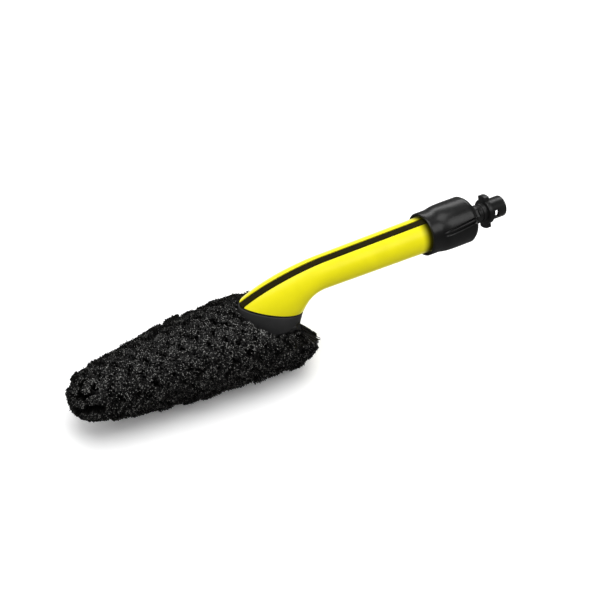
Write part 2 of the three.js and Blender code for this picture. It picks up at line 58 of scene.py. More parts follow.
def handle_origin():
    """The inlet's end face, on the handle's axis, in the row's metres."""
    low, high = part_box("bayonet_adapter")
    return np.array([high.x, 0.0, (low.z + high.z) / 2])


ORIGIN = handle_origin()


def in_row(points):
    """Points in handle coordinates, turned into the row's metres."""
    return ORIGIN + np.asarray(points, float) * MM


def span(node, axis):
    """Lowest and highest value of a CAD node along one axis, in handle coordinates."""
    low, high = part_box(node)
    return (low[axis] - ORIGIN[axis]) / MM, (high[axis] - ORIGIN[axis]) / MM


NUT_MOUTH, NUT_REAR = span("union_nut", 0)
HANDLE_END = span("handle_shell_left", 0)[1]
SPIGOT_END = span("bayonet_adapter", 0)[0]
HEAD_TIP = span("bristles_tip", 0)[0]
HEAD_REAR = span("bristles_rear", 0)[1]
CORE_TIP, CORE_REAR = span("brush_body_lower", 0)
FLOOR_Z = span("bristles_bottom", 2)[0]

# handle; the radii, wall, bend and seam are the CAD's
HANDLE_RADIUS = (15.3, 13.8)  # at the nut and at the start of the bend
HANDLE_WALL = 2.8
BEND_X = -182.0  # the bend starts here
SEAM_FRONT = np.array([-254.0, 0.0, -4.0])
SEAM_REAR = np.array([-196.5, 0.0, -24.2])
SEAM_HALF_WIDTH = 17.4
SEAM_EGG = 0.26  # how much narrower the seam is in front than at the rear
SEAM_GAP = 0.9
SHELL_GAP = 0.3
SLOT_HALF = 3.4  # half the width of the strip's slot
SLOT_DEPTH = 1.8
STRIP_HALF = 2.75
STRIP_TOP = 0.3  # depth of the strip's top below the handle's skin
STRIP_DEPTH = 1.5
OUTER_STEPS = 44
INNER_STEPS = 22
STRIP_STEPS = 9
TURN_SAMPLES = 400

seam_centre = (SEAM_FRONT + SEAM_REAR) / 2
seam_half_length = np.linalg.norm(SEAM_FRONT - SEAM_REAR) / 2
seam_long = (SEAM_FRONT - SEAM_REAR) / (2 * seam_half_length)
seam_down = np.array([-seam_long[2], 0.0, seam_long[0]])

# head and collar; COLLAR_DROP and VALLEY_RISE are this model's own
HEAD_Z = -41.2  # axis of the head
HEAD_SIZE = (38.0, 31.0)  # half-width and half-height at WIDEST_X
HEAD_DROOP = (0.00072, 0.0005)  # how fast the two fall away towards the tip
HEAD_ROUND = 17.0
CORE_SIZE = (20.0, 13.0)
CORE_DROOP = (0.0005, 0.00026)
CORE_ROUND = 9.0
WIDEST_X = -232.0
COLLAR_FOOT = (-39.0, -46.0)  # z of the collar's lower edge, front and rear
COLLAR_FOOT_BACK = 1.8
COLLAR_FOOT_SHRINK = (3.2, 0.8)
COLLAR_WALL = 2.6
COLLAR_DROP = 1.0  # how much wider the gap under the seam is than in the CAD
COLLAR_ROWS = 9
SADDLE_LIFT = 0.3
GASKET_INSETS = (1.6, 3.4)
GASKET_TOP = 0.1
GASKET_BELOW = 0.8
VALLEY = -56.0  # lowest point of the V that the bristles leave behind the collar
VALLEY_RISE = 0.6  # how fast it rises to its sides
VALLEY_X = -208.0


# ---------------------------------------------------------------- mesh helpers

def make_piece(name, points, faces, body, slot, materials, replaced=(), sharp=38):
    """A mesh from points in handle coordinates, riding on a body and standing for CAD nodes."""
    mesh = bpy.data.meshes.new(name)
    mesh.from_pydata(in_row(points).tolist(), [], [list(map(int, face)) for face in faces])
    mesh.validate()
    obj = bpy.data.objects.new(name, mesh)
    bpy.context.scene.collection.objects.link(obj)
    for material in materials:
        mesh.materials.append(material)
    mesh.shade_smooth()
    mesh.set_sharp_from_angle(angle=math.radians(sharp))
    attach(obj, body)
    if replaced:
        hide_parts(*replaced)
    return obj


def skin(rings, closed=False):
    """Quads over a row of equal rings, with capped ends unless closed joins the last ring to the first."""
    rings = np.asarray(rings, float)
    rows, count = rings.shape[:2]
    faces = []
    for row in range(rows if closed else rows - 1):
        a = row * count
        b = ((row + 1) % rows) * count
        for i in range(count):
            j = (i + 1) % count
            faces.append((a + i, a + j, b + j, b + i))
    if not closed:
        faces.append(tuple(range(count))[::-1])
        faces.append(tuple(range((rows - 1) * count, rows * count)))
    return rings.reshape(-1, 3), outward(rings.reshape(-1, 3), faces)


def outward(points, faces):
    """The faces turned so that the closed form's volume is positive."""
    volume = 0.0
    for face in faces:
        for i in range(1, len(face) - 1):
            a, b, c = points[face[0]], points[face[i]], points[face[i + 1]]
            volume += np.dot(a - points[0], np.cross(b - points[0], c - points[0]))
    return [face[::-1] for face in faces] if volume < 0 else faces


def soften(obj, width, angle=35, segments=3):
    """Rounds a piece's sharp edges."""
    bevel = obj.modifiers.new("rounded_edges", "BEVEL")
    bevel.width = width * MM
    bevel.segments = segments
    bevel.limit_method = "ANGLE"
    bevel.angle_limit = math.radians(angle)
    bevel.harden_normals = True


def turned_rings(profile, count=96):
    """Rings about the handle's axis, one for each (x, radius) of a profile."""
    turns = np.arange(count) / count * 2 * math.pi
    return [np.stack([np.full(count, x), radius * np.cos(turns), radius * np.sin(turns)], 1)
            for x, radius in profile]


def join_or_cut(obj, tools, operation):
    """Joins tool meshes to a piece, or cuts them from it, and deletes the tools."""
    for tool in tools:
        modifier = obj.modifiers.new("shape", "BOOLEAN")
        modifier.operation = operation
        modifier.solver = "EXACT"
        modifier.object = tool
    bpy.context.view_layer.update()
    shaped = bpy.data.meshes.new_from_object(obj.evaluated_get(bpy.context.evaluated_depsgraph_get()))
    obj.modifiers.clear()
    obj.data = shaped
    for tool in tools:
        bpy.data.objects.remove(tool)
    shaped.shade_smooth()
    shaped.set_sharp_from_angle(angle=math.radians(30))


def tool_mesh(points, faces):
    """A closed mesh that join_or_cut uses and deletes."""
    mesh = bpy.data.meshes.new("tool")
    mesh.from_pydata(in_row(points).tolist(), [], faces)
    obj = bpy.data.objects.new("tool", mesh)
    bpy.context.scene.collection.objects.link(obj)
    return obj


def turned_block(x_range, y_range, z_range, turn):
    """A box turned about the handle's axis, from +Z towards -Y, in degrees."""
    ring = [(y_range[0], z_range[0]), (y_range[1], z_range[0]), (y_range[1], z_range[1]),
            (y_range[0], z_range[1])]
    angle = math.radians(turn)
    rings = [[(x, y * math.cos(angle) - z * math.sin(angle), y * math.sin(angle) + z * math.cos(angle))
              for y, z in ring] for x in x_range]
    return tool_mesh(*skin(rings))


# ---------------------------------------------------------------- materials

def new_material(name):
    """A material, its nodes, its links and its main shader."""
    material = bpy.data.materials.new(name)
    material.use_nodes = True
    nodes = material.node_tree.nodes
    return material, nodes, material.node_tree.links, nodes["Principled BSDF"]


def noise(nodes, links, scale, detail=3.0):
    """A noise texture in the row's own space, so that grain keeps its real size."""
    coordinates = nodes.new("ShaderNodeTexCoord")
    texture = nodes.new("ShaderNodeTexNoise")
    texture.inputs["Scale"].default_value = scale
    texture.inputs["Detail"].default_value = detail
    links.new(coordinates.outputs["Object"], texture.inputs["Vector"])
    return texture.outputs["Fac"]


def ramp(nodes, links, value, stops):
    """A colour ramp of (position, colour) stops."""
    node = nodes.new("ShaderNodeValToRGB")
    elements = node.color_ramp.elements
    while len(elements) < len(stops):
        elements.new(0.5)
    for element, (position, colour) in zip(elements, stops):
        element.position = position
        element.color = (*colour, 1)
    links.new(value, node.inputs["Fac"])
    return node.outputs["Color"]


def spread(nodes, links, value, low, high):
    """A 0 to 1 value mapped to low to high."""
    node = nodes.new("ShaderNodeMapRange")
    node.inputs["To Min"].default_value = low
    node.inputs["To Max"].default_value = high
    links.new(value, node.inputs["Value"])
    return node.outputs["Result"]


def bump(nodes, links, shader, height, distance):
    """Relief in a shader's surface, distance metres deep."""
    node = nodes.new("ShaderNodeBump")
    node.inputs["Strength"].default_value = 1.0
    node.inputs["Distance"].default_value = distance
    links.new(height, node.inputs["Height"])
    links.new(node.outputs["Normal"], shader.inputs["Normal"])


def plastic(name, dark, light, rough, grain_scale, grain_depth, coat=0.0, specular=0.35,
            mottle_scale=60.0):
    """Moulded plastic: faint colour mottling, uneven gloss and a fine moulded grain."""
    material, nodes, links, shader = new_material(name)
    mottle = noise(nodes, links, mottle_scale)
    links.new(ramp(nodes, links, mottle, [(0.3, dark), (0.7, light)]), shader.inputs["Base Color"])
    shader.inputs["Specular IOR Level"].default_value = specular
    links.new(spread(nodes, links, noise(nodes, links, mottle_scale * 3), *rough),
              shader.inputs["Roughness"])
    bump(nodes, links, shader, noise(nodes, links, grain_scale, detail=2.0), grain_depth)
    shader.inputs["Coat Weight"].default_value = coat
    shader.inputs["Coat Roughness"].default_value = 0.12
    return material


def steel(name):
    """Turned steel: light grey with fine lathe lines along its own height."""
    material, nodes, links, shader = new_material(name)
    lines = nodes.new("ShaderNodeTexWave")
    lines.bands_direction = "Z"
    lines.inputs["Scale"].default_value = 900.0
    lines.inputs["Distortion"].default_value = 2.0
    coordinates = nodes.new("ShaderNodeTexCoord")
    links.new(coordinates.outputs["Object"], lines.inputs["Vector"])
    tone = ramp(nodes, links, lines.outputs["Fac"], [(0.0, (0.45, 0.45, 0.46)), (1.0, (0.62, 0.62, 0.63))])
    links.new(tone, shader.inputs["Base Color"])
    shader.inputs["Metallic"].default_value = 1.0
    links.new(spread(nodes, links, lines.outputs["Fac"], 0.22, 0.38), shader.inputs["Roughness"])
    return material


def bristle_side(name):
    """Black filament, its tone and gloss varying from strand to strand."""
    material, nodes, links, shader = new_material(name)
    strand = nodes.new("ShaderNodeAttribute")
    strand.attribute_name = "strand"
    tone = ramp(nodes, links, strand.outputs["Fac"],
                [(0.0, (0.001, 0.001, 0.001)), (0.7, (0.003, 0.003, 0.0027)), (1.0, (0.022, 0.021, 0.019))])
    links.new(tone, shader.inputs["Base Color"])
    links.new(spread(nodes, links, strand.outputs["Fac"], 0.6, 0.4), shader.inputs["Roughness"])
    shader.inputs["Specular IOR Level"].default_value = 0.25
    return material


def bristle_end_and_glint(name):
    """The cut, frayed end of a filament: from black to pale grey, from strand to strand; the pale grey ends
    are partly the frayed tips' own tone and partly painted glints of light on the cut ends.
    """
    material, nodes, links, shader = new_material(name)
    strand = nodes.new("ShaderNodeAttribute")
    strand.attribute_name = "strand"
    # the palest stops are partly painted glints: light caught on the cut ends, painted into the colour
    tone = ramp(nodes, links, strand.outputs["Fac"],
                [(0.0, (0.002, 0.002, 0.002)), (0.5, (0.008, 0.008, 0.008)), (0.78, (0.065, 0.065, 0.062)),
                 (1.0, (0.68, 0.68, 0.65))])
    links.new(tone, shader.inputs["Base Color"])
    shader.inputs["Roughness"].default_value = 0.5
    return material


def tint(nodes, links, shader, colour, factor, blend="MIX"):
    """Blends a colour or value over a shader's base colour and returns the blend node."""
    mix = nodes.new("ShaderNodeMix")
    mix.data_type = "RGBA"
    mix.blend_type = blend
    links.new(shader.inputs["Base Color"].links[0].from_socket, mix.inputs["A"])
    for value, socket in ((factor, mix.inputs["Factor"]), (colour, mix.inputs["B"])):
        if isinstance(value, bpy.types.NodeSocket):
            links.new(value, socket)
        else:
            socket.default_value = value
    links.new(mix.outputs["Result"], shader.inputs["Base Color"])
    return mix


def add_painted_rim_light(material, colour, most=0.85, glow=0.5):
    """Paints light onto a plastic where it is seen at a grazing angle: a pale rim that glows a little,
    standing for the studio's light along its edges.
    """
    nodes, links = material.node_tree.nodes, material.node_tree.links
    weight = nodes.new("ShaderNodeLayerWeight")
    weight.inputs["Blend"].default_value = 0.5
    edge = ramp(nodes, links, weight.outputs["Facing"], [(0.6, (0, 0, 0)), (0.95, (most, most, most))])
    shader = nodes["Principled BSDF"]
    rim = tint(nodes, links, shader, (*colour, 1), edge)
    # painted rim light: the pale edge also glows, though the plastic is no lamp
    links.new(rim.outputs["Result"], shader.inputs["Emission Color"])
    links.new(spread(nodes, links, edge, 0.0, glow), shader.inputs["Emission Strength"])


def fade(nodes, links, value, start, end, low, high):
    """A factor that runs smoothly from low to high while a value runs from start to end."""
    step = nodes.new("ShaderNodeMapRange")
    step.interpolation_type = "SMOOTHSTEP"
    for name, number in (("From Min", start), ("From Max", end), ("To Min", low), ("To Max", high)):
        step.inputs[name].default_value = number
    links.new(value, step.inputs["Value"])
    return step.outputs["Result"]


def combine(nodes, links, operation, first, second):
    """A math node's result from a value and a second value or a plain number."""
    math_node = nodes.new("ShaderNodeMath")
    math_node.operation = operation
    links.new(first, math_node.inputs[0])
    if isinstance(second, float):
        math_node.inputs[1].default_value = second
    else:
        links.new(second, math_node.inputs[1])
    return math_node.outputs["Value"]


PAINTED_SHADE_END = 1.7  # the painted shade ends at this many times its reach past the edge


def add_painted_shade(material, edge, before, after, darkest):
    """Paints shade onto a plastic on both sides of an edge at x, in the row's metres, and dims its gloss
    there too: the shadow where a part meets it, painted into the colour.
    """
    nodes, links = material.node_tree.nodes, material.node_tree.links
    shader = nodes["Principled BSDF"]
    coordinates = nodes.new("ShaderNodeTexCoord")
    parts = nodes.new("ShaderNodeSeparateXYZ")
    links.new(coordinates.outputs["Object"], parts.inputs["Vector"])
    x = parts.outputs["X"]
    darkening = fade(nodes, links, x, edge - before, edge, 1.0, darkest)
    clearing = fade(nodes, links, x, edge + after, edge + PAINTED_SHADE_END * after, darkest, 1.0)
    dark = combine(nodes, links, "MAXIMUM", darkening, clearing)
    # painted shade: colour and glow darkened towards the edge
    shaded_colour = tint(nodes, links, shader, dark, 1.0, "MULTIPLY")
    links.new(shaded_colour.outputs["Result"], shader.inputs["Emission Color"])
    gloss = combine(nodes, links, "MULTIPLY", dark, shader.inputs["Specular IOR Level"].default_value)
    links.new(gloss, shader.inputs["Specular IOR Level"])


yellow = plastic("yellow_plastic", dark=(0.86, 0.78, 0.001), light=(0.92, 0.83, 0.002),
                 rough=(0.30, 0.38), grain_scale=1400, grain_depth=0.00001, coat=0.05, specular=0.25)
# painted rim light along the yellow handle's outline
add_painted_rim_light(yellow, colour=(1.0, 0.97, 0.35))
# painted shade: the nut's shadow on the handle at its mouth, painted into the yellow
add_painted_shade(yellow, edge=ORIGIN[0] + NUT_MOUTH * MM, before=9 * MM, after=2 * MM, darkest=0.06)
black = plastic("black_plastic", dark=(0.008, 0.008, 0.008), light=(0.014, 0.014, 0.014),
                rough=(0.28, 0.40), grain_scale=2200, grain_depth=0.00003)
collar_black = plastic("collar_plastic", dark=(0.038, 0.038, 0.039), light=(0.054, 0.054, 0.055),
                       rough=(0.42, 0.54), grain_scale=1800, grain_depth=0.00005, specular=0.4)
nut_black = plastic("nut_plastic", dark=(0.005, 0.005, 0.005), light=(0.009, 0.009, 0.009),
                    rough=(0.26, 0.36), grain_scale=2400, grain_depth=0.00003, coat=0.1)
strip_black = plastic("strip_rubber", dark=(0.013, 0.011, 0.002), light=(0.020, 0.016, 0.003),
                      rough=(0.7, 0.85), grain_scale=2600, grain_depth=0.00004, specular=0.05)
rubber = plastic("seal_rubber", dark=(0.010, 0.010, 0.010), light=(0.02, 0.02, 0.02),
                 rough=(0.6, 0.8), grain_scale=2600, grain_depth=0.00005)
tube_plastic = plastic("tube_plastic", dark=(0.03, 0.03, 0.032), light=(0.05, 0.05, 0.052),
                       rough=(0.3, 0.4), grain_scale=1200, grain_depth=0.00003)
slip_plastic = plastic("slip_plastic", dark=(0.66, 0.63, 0.56), light=(0.76, 0.73, 0.66),
                       rough=(0.35, 0.5), grain_scale=1500, grain_depth=0.00003)
screw_steel = steel("screw_steel")
strand_side = bristle_side("bristle_side")
strand_end = bristle_end_and_glint("bristle_end_and_glint")

NODE_MATERIALS = {
    black: ["bayonet_adapter", "thread_socket", "brush_body_upper", "brush_body_lower", "collar"],
    nut_black: ["union_nut"],
    rubber: ["spigot_seal_front", "spigot_seal_rear", "tube_seal", "body_gasket", "tube_grommet",
             "seam_gasket"],
    tube_plastic: ["water_tube"],
    slip_plastic: ["slip_ring"],
    yellow: ["handle_shell_left", "handle_shell_right"],
    strip_black: ["handle_strip"],
    screw_steel: ["flow_restrictor", "neck_screw_left", "neck_screw_right", "body_screw_front",
                  "body_screw_middle", "body_screw_rear"],
}


def finish_cad_nodes():
    """Gives every CAD node that stays its own finish."""
    for material, names in NODE_MATERIALS.items():
        for name in names:
            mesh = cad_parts[name].data
            mesh.materials.clear()
            mesh.materials.append(material)


# ---------------------------------------------------------------- handle

def bezier(points, t):
    """A point of the cubic curve through four (x, z) control points."""
    a, b, c, d = [np.array([x, 0.0, z]) for x, z in points]
    return (1 - t) ** 3 * a + 3 * (1 - t) ** 2 * t * b + 3 * (1 - t) * t ** 2 * c + t ** 3 * d


# control points (x, z) of the bend's back and belly
TOP_GUIDE = [(BEND_X, HANDLE_RADIUS[1]), (BEND_X - 23, 12.6), (SEAM_FRONT[0] + 18, 6.2),
             (SEAM_FRONT[0], SEAM_FRONT[2])]
BOTTOM_GUIDE = [(BEND_X, -HANDLE_RADIUS[1]), (BEND_X - 9, -14.2), (SEAM_REAR[0] + 2, -16.0),
                (SEAM_REAR[0], SEAM_REAR[2])]


def handle_stations(straight=16, bend=40):
    """Centre, long axis, half-length, half-width and egg shape of the handle's sections, nut to seam."""
    stations = []
    up = np.array([0.0, 0.0, 1.0])
    for t in np.linspace(0, 1, straight, endpoint=False):
        radius = HANDLE_RADIUS[0] + t * (HANDLE_RADIUS[1] - HANDLE_RADIUS[0])
        centre = np.array([HANDLE_END + t * (BEND_X - HANDLE_END), 0.0, 0.0])
        stations.append((centre, up, radius, radius, 0.0))
    for t in np.linspace(0, 1, bend):
        top = bezier(TOP_GUIDE, t)
        bottom = bezier(BOTTOM_GUIDE, t)
        length = np.linalg.norm(top - bottom)
        flare = t * t * (3 - 2 * t)
        width = HANDLE_RADIUS[1] + flare * (SEAM_HALF_WIDTH - HANDLE_RADIUS[1])
        stations.append(((top + bottom) / 2, (top - bottom) / length, length / 2, width, SEAM_EGG * flare))
    return stations


def on_oval(station, depth, turn, side=1):
    """A point a depth inside the section's outline, at an angle from its top."""
    centre, long, half_long, half_wide, egg = station
    across = (half_wide - depth) * math.sin(turn) * (1 - egg * math.cos(turn))
    return centre + long * (half_long - depth) * math.cos(turn) + Y_AXIS * side * across


def turn_at(station, depth, y, at_top=True):
    """The angle from the section's top at which its outline is y from the middle, near top or bottom."""
    turns = np.linspace(0 if at_top else math.pi, math.pi / 2, TURN_SAMPLES)
    across = (station[3] - depth) * np.sin(turns) * (1 - station[4] * np.cos(turns))
    return float(np.interp(y, across, turns))


def shell_ring(station, side):
    """Section of one yellow shell: outer skin, parting face, inner skin and the strip's slot."""
    split = SHELL_GAP / 2
    outer = np.linspace(turn_at(station, 0, SLOT_HALF), turn_at(station, 0, split, at_top=False),
                        OUTER_STEPS)
    inner = np.linspace(turn_at(station, HANDLE_WALL, split, at_top=False),
                        turn_at(station, HANDLE_WALL, split), INNER_STEPS)
    ring = [on_oval(station, 0, turn, side) for turn in outer]
    ring += [on_oval(station, HANDLE_WALL, turn, side) for turn in inner]
    ring += [on_oval(station, SLOT_DEPTH, turn_at(station, SLOT_DEPTH, y), side)
             for y in (split, SLOT_HALF)]
    return ring


def make_shells():
    """The two yellow shells that make up the handle."""
    for name, side in (("left", 1), ("right", -1)):
        rings = [shell_ring(station, side) for station in handle_stations()]
        shell = make_piece(f"handle_{name}", *skin(rings), "brush", "yellow_plastic", [yellow],
                           [f"handle_shell_{name}"])
        soften(shell, width=0.55)


def make_strip():
    """The dark strip in the slot along the handle's back, ending at the collar's front."""
    stations = handle_stations()
    stations.append((stations[-1][0] + seam_down * SEAM_GAP, *stations[-1][1:]))
    rings = []
    for station in stations:
        top = [on_oval(station, STRIP_TOP, turn_at(station, STRIP_TOP, abs(y)), np.sign(y) or 1)
               for y in np.linspace(-STRIP_HALF, STRIP_HALF, STRIP_STEPS)]
        floor = [on_oval(station, STRIP_DEPTH, turn_at(station, STRIP_DEPTH, STRIP_HALF), side)
                 for side in (1, -1)]
        rings.append(top + floor)
    strip = make_piece("handle_strip_inlay", *skin(rings), "brush", "black_strip", [strip_black],
                       ["handle_strip"])
    soften(strip, width=0.35)


# ---------------------------------------------------------------- collar and seam

def seam_oval(centre, long, half_long, half_wide, count=96):
    """A ring of the seam's egg shape: narrower in front than at the rear."""
    turns = np.arange(count) / count * 2 * math.pi
    across = np.sin(turns) * half_wide * (1 - SEAM_EGG * np.cos(turns))
    return centre + np.outer(np.cos(turns) * half_long, long) + np.outer(across, Y_AXIS)


def paddle_size(x, size, droop, ends, roundness):
    """Half-size of a paddle at x: full at WIDEST_X, falling towards the tip, round at both ends."""
    beyond = np.maximum(0, WIDEST_X - x)
    from_end = np.minimum(1, np.minimum(x - ends[0], ends[1] - x) / roundness)
    return (size - droop * beyond ** 2) * np.sqrt(np.maximum(0, 1 - (1 - from_end) ** 2))


def head_size(x):
    """Half-width and half-height of the bristles at x."""
    ends = (HEAD_TIP, HEAD_REAR)
    return [paddle_size(x, HEAD_SIZE[i], HEAD_DROOP[i], ends, HEAD_ROUND) for i in (0, 1)]


def core_size(x):
    """Half-width and half-height of the brush body at x."""
    ends = (CORE_TIP, CORE_REAR)
    return [paddle_size(x, CORE_SIZE[i], CORE_DROOP[i], ends, CORE_ROUND) for i in (0, 1)]


def saddle(points):
    """Points lifted onto the brush body's back where it stands higher than they do."""
    lifted = points.copy()
    for point in lifted:
        half_wide, half_high = core_size(point[0])
        inside = 1 - (point[1] / max(half_wide, 0.01)) ** 2
        if inside > 0 and point[2] > HEAD_Z - half_high:
            point[2] = max(point[2], HEAD_Z + half_high * math.sqrt(inside) + SADDLE_LIFT)
    return lifted


def make_collar():
    """The skirt between the handle and the brush body."""
    def wall(inset):
        top_centre = seam_centre + seam_down * (SEAM_GAP + COLLAR_DROP)
        top = seam_oval(top_centre, seam_long, seam_half_length - inset, SEAM_HALF_WIDTH - inset)
        half_long = seam_half_length - COLLAR_FOOT_SHRINK[0]
        centre = np.array([seam_centre[0] - COLLAR_FOOT_BACK, 0, sum(COLLAR_FOOT) / 2])
        long = np.array([-1.0, 0, (COLLAR_FOOT[0] - COLLAR_FOOT[1]) / (2 * half_long)])
        foot = saddle(seam_oval(centre, long, half_long - inset,
                                SEAM_HALF_WIDTH - COLLAR_FOOT_SHRINK[1] - inset))
        return [top + (foot - top) * t for t in np.linspace(0, 1, COLLAR_ROWS)]

    rings = wall(0) + wall(COLLAR_WALL)[::-1]
    collar = make_piece("collar_skirt", *skin(rings, closed=True), "brush", "black_plastic",
                        [collar_black], ["collar"])
    soften(collar, width=0.5)


def make_seam_gasket():
    """The thin black seal that shows as a dark line between the handle and the collar."""
    outer, inner = GASKET_INSETS
    bottom = SEAM_GAP + GASKET_BELOW
    rings = []
    for inset, depth in ((outer, GASKET_TOP), (outer, bottom), (inner, bottom), (inner, GASKET_TOP)):
        centre = seam_centre + seam_down * depth
        rings.append(seam_oval(centre, seam_long, seam_half_length - inset, SEAM_HALF_WIDTH - inset))
    make_piece("seam_seal", *skin(rings, closed=True), "brush", "seal_rubber", [rubber], ["seam_gasket"])


# ---------------------------------------------------------------- nut

FLUTES = 3
FLUTE_TURN = math.radians(64)
FLUTE_TWIST = math.radians(-11)  # over the length of the lobes
FLUTE_PROFILE = ((0.0, 2.4, 4.8, 7.8), (0.25, 0.3, 1.0, 0.0))  # degrees off the middle, depth from 0 to 1
FLUTE_DEPTH = 2.4
NUT_SHOULDER = -47.0  # inside face that presses on the slip ring
NUT_BORE = 8.4
NUT_THREAD_BORE = 13.6
NUT_MOUTH_BORE = 16.0
NUT_STEP = 1.5  # rough distance between two sections
LOBES = NUT_MOUTH + 11.0
NUT_OUTLINE = [  # x, radius, depth of the flutes from 0 to 1
    (NUT_MOUTH, 17.7, 0), (NUT_MOUTH + 0.2, 18.1, 0), (NUT_MOUTH + 0.7, 18.3, 0), (LOBES - 2.5, 18.3, 0),
    (LOBES - 0.5, 18.4, 0), (LOBES + 1.5, 18.7, 0.1), (LOBES + 3.5, 19.1, 0.4), (LOBES + 6, 19.5, 0.6),
    (LOBES + 9, 19.75, 0.7), (LOBES + 14, 19.95, 0.78), (NUT_REAR - 7.0, 19.95, 1),
    (NUT_REAR - 6.4, 19.6, 1), (NUT_REAR - 4.6, 18.5, 1), (NUT_REAR - 3.6, 17.6, 0.9),
    (NUT_REAR - 3.1, 16.8, 0.6), (NUT_REAR - 2.9, 15.4, 0.3), (NUT_REAR - 2.7, 14.2, 0),
    (NUT_REAR - 2.5, 13.7, 0), (NUT_REAR - 0.4, 13.5, 0), (NUT_REAR, 13.1, 0),
]


def nut_ring(x, radius, depth, count=576):
    """One section of the nut's outside: round, with pairs of grooves that each leave a rib between them."""
    angle = np.arange(count) / count * 2 * math.pi
    lobe = (angle * FLUTES / (2 * math.pi)) % 1
    off = np.minimum(lobe, 1 - lobe) * (360 / FLUTES)
    cut = np.interp(off, *FLUTE_PROFILE) * FLUTE_DEPTH * depth
    turn = angle + FLUTE_TURN + FLUTE_TWIST * (x - LOBES) / (NUT_REAR - LOBES)
    return np.stack([np.full(count, x), -(radius - cut) * np.sin(turn), (radius - cut) * np.cos(turn)], 1)


def make_nut():
    """The union nut: its fluted outside and its stepped bore."""
    outline = []
    for (x0, r0, d0), (x1, r1, d1) in zip(NUT_OUTLINE, NUT_OUTLINE[1:]):
        count = max(1, round((x1 - x0) / NUT_STEP))
        outline += [(x0 + t * (x1 - x0), r0 + t * (r1 - r0), d0 + t * (d1 - d0))
                    for t in np.arange(count) / count]
    outline.append(NUT_OUTLINE[-1])
    rings = [nut_ring(*section) for section in outline]
    bore = [
        (NUT_REAR, NUT_BORE + 0.4), (NUT_REAR - 0.4, NUT_BORE), (NUT_SHOULDER, NUT_BORE),
        (NUT_SHOULDER, NUT_THREAD_BORE), (HANDLE_END + 1, NUT_THREAD_BORE),
        (HANDLE_END + 1, NUT_MOUTH_BORE), (NUT_MOUTH + 0.8, NUT_MOUTH_BORE),
        (NUT_MOUTH, NUT_MOUTH_BORE + 0.7),
    ]
    rings += [nut_ring(x, radius, 0) for x, radius in bore]
    make_piece("union_nut_shell", *skin(rings, closed=True), "nut", "nut_plastic", [nut_black],
               ["union_nut"], sharp=32)


# ---------------------------------------------------------------- bayonet adapter

BARREL = 9.1
BORE = 3.8
INLET = 6.8
INLET_DEPTH = 12.0
LUG_SPAN = (-18.8, -14.2)
LUG_FLANGE = 11.0
LUG_ROOT = 9.0  # the lugs start inside the flange, at this radius
LUG_INSET = 0.02  # how far each lug stays inside the flange's two faces
LUG_REACH = 14.4
LUG_HALF_WIDTH = 4.5
LUG_STEPS = 9
LUG_TURN = -22.0
WINDOWS = [  # the barrel's window and its end notch: x from, x to, half-width, degrees from +Z to -Y
    (-12.0, -8.2, 3.2, 80.0),
    (-6.0, 1.0, 3.6, 184.0),
]
NECK = 7.9
NECK_GROOVE = (-24.5, -22.4)
NECK_GROOVE_DEPTH = 1.0
POCKET_X = (-31.0, -26.5)
POCKET_HALF = 3.0
POCKET_DEPTH = 1.2
POCKET_TURNS = (40, 130, 220, 310)
CUT_REACH = 20.0  # beyond every surface that a cutter has to pass
CLAMP_FLANGE = (-57.5, -53.5)
CLAMP_FLANGE_RADIUS = 11.6
SPIGOT = 7.0
SEAL_X = (-71.5, -66.5)
SEAL_GROOVE = 5.35
SEAL_HALF = 1.1  # half the width of a seal's groove
EDGE_ROUND = 0.45


def rounded(profile, radius):
    """The profile with each corner replaced by a short arc of three points."""
    points = [np.array(p, float) for p in profile]
    result = []
    for i, corner in enumerate(points):
        before, after = points[i - 1] - corner, points[(i + 1) % len(points)] - corner
        cut = min(radius, np.linalg.norm(before) * 0.45, np.linalg.norm(after) * 0.45)
        start = corner + before / np.linalg.norm(before) * cut
        end = corner + after / np.linalg.norm(after) * cut
        result += [start, (start + end + 2 * corner) / 4, end]
    return result


def make_adapter():
    """The bayonet adapter, turned from one profile, with its lugs joined on and its openings cut."""
    grooves = []
    for x in SEAL_X:
        front, rear = x - SEAL_HALF, x + SEAL_HALF
        grooves += [(front, SPIGOT), (front, SEAL_GROOVE), (rear, SEAL_GROOVE), (rear, SPIGOT)]
    neck_floor = NECK - NECK_GROOVE_DEPTH
    profile = [
        (SPIGOT_END, BORE), (SPIGOT_END, SPIGOT), *grooves,
        (CLAMP_FLANGE[0], SPIGOT), (CLAMP_FLANGE[0], CLAMP_FLANGE_RADIUS),
        (CLAMP_FLANGE[1], CLAMP_FLANGE_RADIUS), (CLAMP_FLANGE[1], NECK),
        (NECK_GROOVE[0], NECK), (NECK_GROOVE[0], neck_floor),
        (NECK_GROOVE[1], neck_floor), (NECK_GROOVE[1], NECK),
        (LUG_SPAN[0], NECK), (LUG_SPAN[0], LUG_FLANGE), (LUG_SPAN[1], LUG_FLANGE),
        (LUG_SPAN[1], BARREL), (0, BARREL), (0, INLET),
        (-INLET_DEPTH, INLET), (-INLET_DEPTH, BORE),
    ]
    points, faces = skin(turned_rings(rounded(profile, EDGE_ROUND)), closed=True)
    adapter = make_piece("bayonet_inlet", points, faces, "adapter", "black_plastic", [black],
                         ["bayonet_adapter"])
    join_or_cut(adapter, make_lugs(), "UNION")
    cutters = [turned_block((a, b), (-half, half), (0, CUT_REACH), turn) for a, b, half, turn in WINDOWS]
    cutters += [turned_block(POCKET_X, (-POCKET_HALF, POCKET_HALF), (NECK - POCKET_DEPTH, CUT_REACH), turn)
                for turn in POCKET_TURNS]
    join_or_cut(adapter, cutters, "DIFFERENCE")


